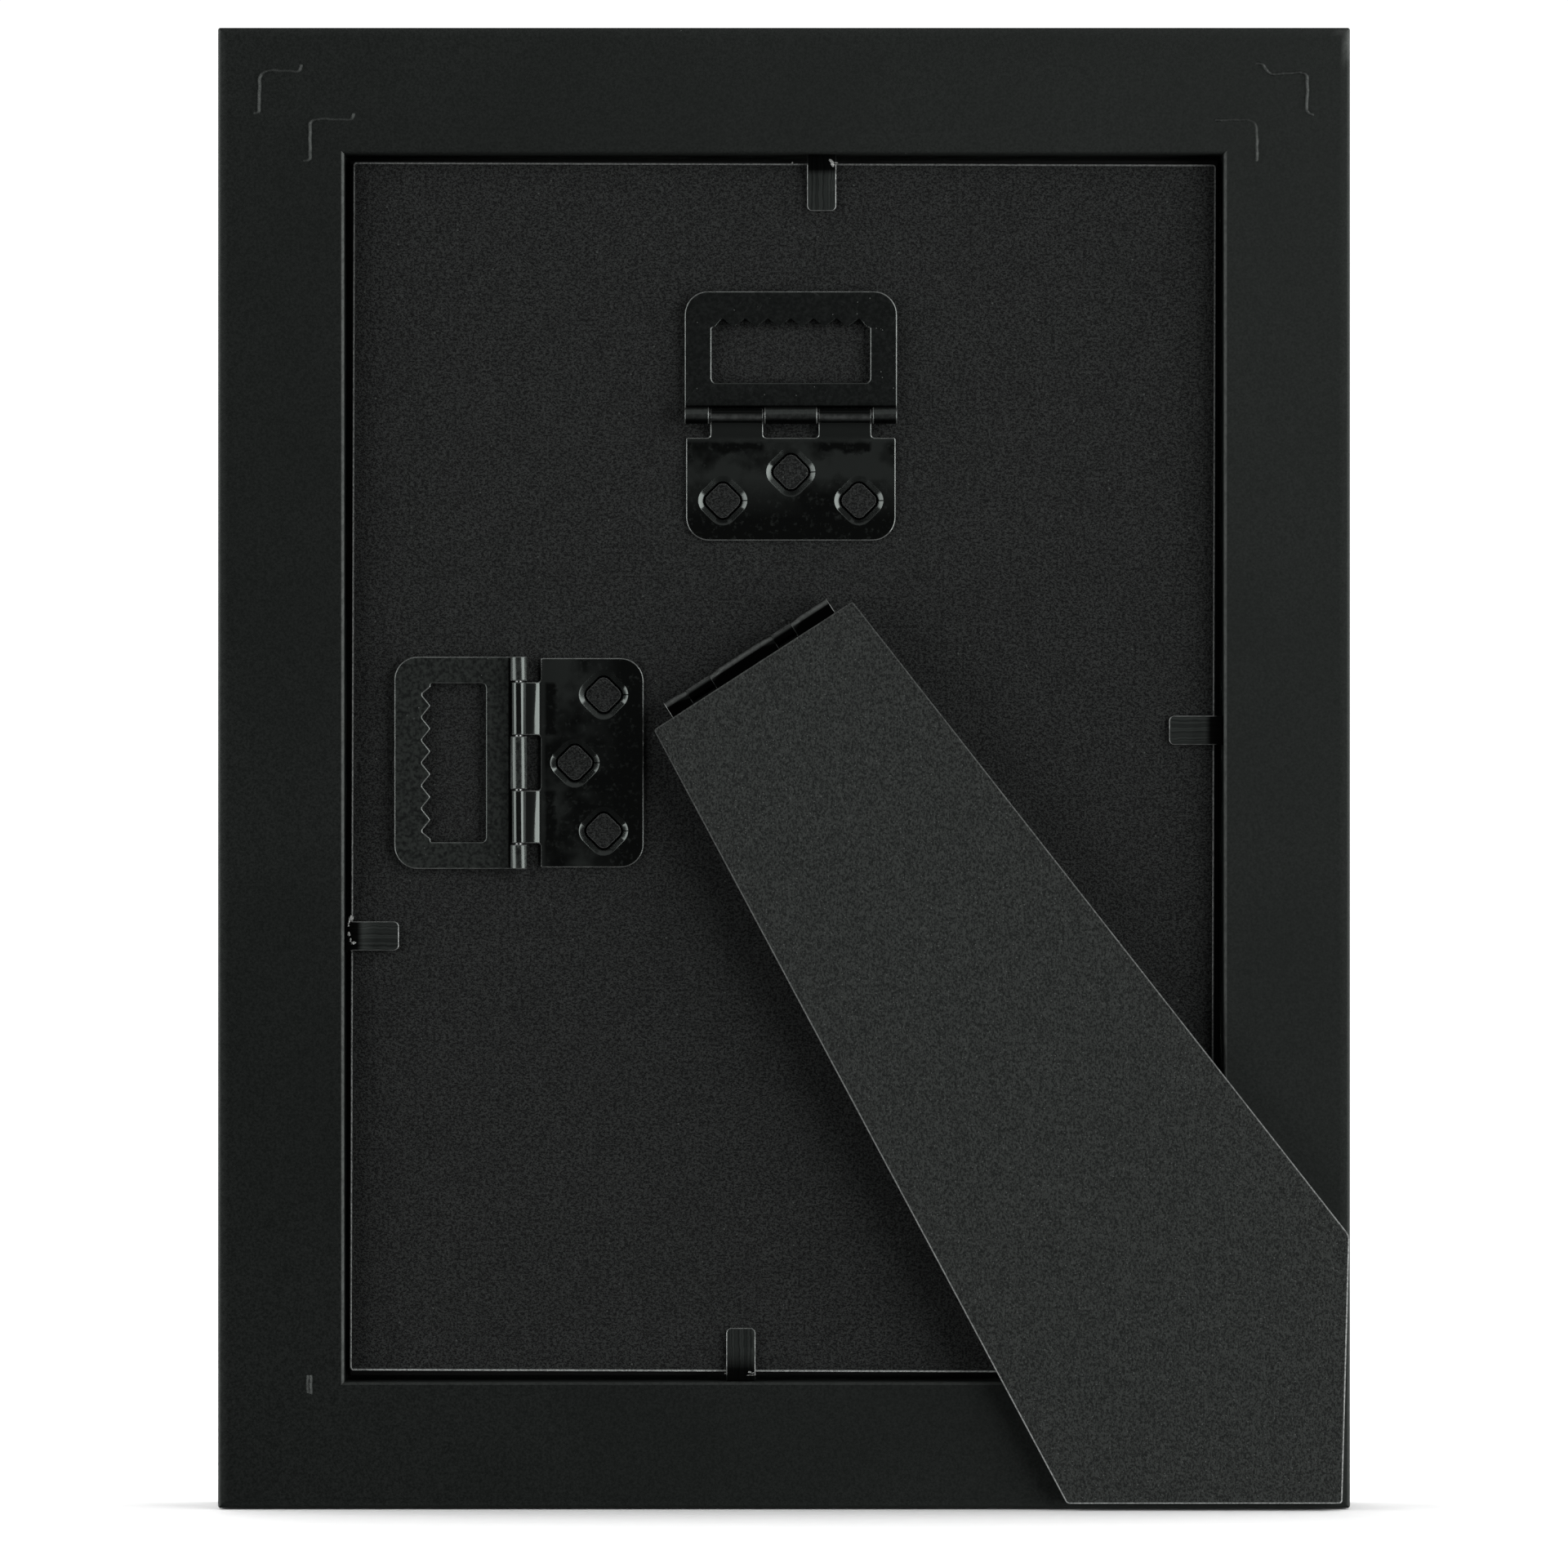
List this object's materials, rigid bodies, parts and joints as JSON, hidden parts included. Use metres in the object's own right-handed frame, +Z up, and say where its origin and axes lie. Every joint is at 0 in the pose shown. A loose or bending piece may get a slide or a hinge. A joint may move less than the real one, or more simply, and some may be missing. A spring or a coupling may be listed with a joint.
{
  "type": "photo frame",
  "caption": "Upright photo frame of black lacquered wood with glass, a backing board held by bendable tabs, a folding easel leg and hinged sawtooth hangers.",
  "frame": {"origin": "on the surface that the frame stands on, under the middle of its box", "axes": "+Z up, glass facing -Y, back and leg facing +Y, +X to the left as seen from behind"},
  "size_m": [0.165, 0.0178, 0.2159],
  "materials": {
    "lacquered_wood": "smooth satin black lacquer",
    "glass": "clear float glass",
    "card": "blank matt card",
    "backing_board": "black paper-faced board, fine fibre grain",
    "leg_board": "charcoal paper-faced board, coarser fibre grain",
    "black_enamel": "gloss black enamel on stamped steel",
    "spring_steel": "dull dark strip",
    "pin_steel": "drawn wire"
  },
  "bodies": {
    "frame": {"rail_top": "lacquered_wood", "rail_bottom": "lacquered_wood", "rail_left": "lacquered_wood", "rail_right": "lacquered_wood", "glass_pane": "glass", "insert_card": "card", "backing_board": "backing_board", "top_left_outer_nail": "spring_steel", "top_left_inner_nail": "spring_steel", "top_right_outer_nail": "spring_steel", "top_right_inner_nail": "spring_steel", "bottom_left_outer_nail": "spring_steel", "bottom_left_inner_nail": "spring_steel", "bottom_right_outer_nail": "spring_steel", "bottom_right_inner_nail": "spring_steel", "tab_top_spike": "spring_steel", "tab_bottom_spike": "spring_steel", "tab_left_spike": "spring_steel", "tab_right_spike": "spring_steel", "top_hanger_plate": "black_enamel", "side_hanger_plate": "black_enamel", "easel_hinge_plate": "black_enamel", "top_hanger_pin": "pin_steel", "side_hanger_pin": "pin_steel", "easel_hinge_pin": "pin_steel"},
    "easel": {"easel_leg": "leg_board", "easel_hinge_leaf": "black_enamel"},
    "top_hanger": {"top_hanger_leaf": "black_enamel"},
    "side_hanger": {"side_hanger_leaf": "black_enamel"},
    "top_tab": {"tab_top": "spring_steel"},
    "bottom_tab": {"tab_bottom": "spring_steel"},
    "left_tab": {"tab_left": "spring_steel"},
    "right_tab": {"tab_right": "spring_steel"}
  },
  "joints": [
    {"name": "easel_hinge", "type": "hinge", "parent": "frame", "child": "easel", "pos_m": [0.0051, 0.00494, 0.12405], "axis": [0.8402, 0, -0.5423], "range_deg": [0, 35]},
    {"name": "top_hanger_hinge", "type": "hinge", "parent": "frame", "child": "top_hanger", "pos_m": [-0.001, 0.00494, 0.15935], "axis": [-1, 0, 0], "range_deg": [0, 180]},
    {"name": "side_hanger_hinge", "type": "hinge", "parent": "frame", "child": "side_hanger", "pos_m": [0.0387, 0.00494, 0.1087], "axis": [0, 0, 1], "range_deg": [0, 180]},
    {"name": "top_tab_bend", "type": "hinge", "parent": "frame", "child": "top_tab", "pos_m": [-0.0058, 0.00424, 0.19745], "axis": [1, 0, 0], "range_deg": [0, 75]},
    {"name": "bottom_tab_bend", "type": "hinge", "parent": "frame", "child": "bottom_tab", "pos_m": [0.0058, 0.00424, 0.01845], "axis": [-1, 0, 0], "range_deg": [0, 75]},
    {"name": "left_tab_bend", "type": "hinge", "parent": "frame", "child": "left_tab", "pos_m": [0.0641, 0.00424, 0.0836], "axis": [0, 0, -1], "range_deg": [0, 75]},
    {"name": "right_tab_bend", "type": "hinge", "parent": "frame", "child": "right_tab", "pos_m": [-0.0641, 0.00424, 0.11375], "axis": [0, 0, 1], "range_deg": [0, 75]}
  ]
}
